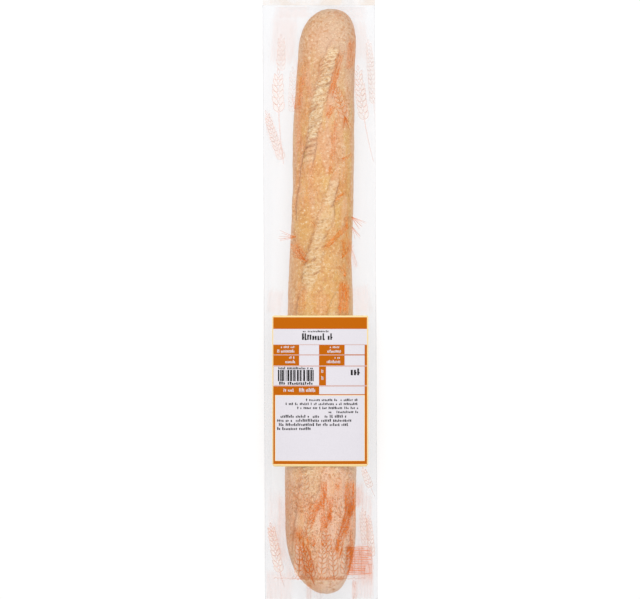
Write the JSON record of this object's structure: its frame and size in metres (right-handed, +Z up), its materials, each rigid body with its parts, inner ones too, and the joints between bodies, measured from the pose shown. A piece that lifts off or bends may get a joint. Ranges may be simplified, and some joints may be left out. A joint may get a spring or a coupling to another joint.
{
  "type": "baguette in a clear sleeve",
  "caption": "Slashed baguette lying in a sealed clear film sleeve printed with wheat ears, with a blank-text scale label stuck on its front.",
  "frame": {"origin": "on the table, under the middle of the sleeve", "axes": "+Z up through the slashed crust and the label, +Y along the loaf towards the end away from the label, +X to the loaf's right"},
  "size_m": [0.0924, 0.494, 0.0431],
  "materials": {
    "bagged_bread": "gloss",
    "label_paper": "satin",
    "film": "gloss",
    "crust": "matte",
    "print_ink": "gloss"
  },
  "bodies": {
    "root": {"bag": "bagged_bread", "label": "label_paper"}
  },
  "joints": []
}
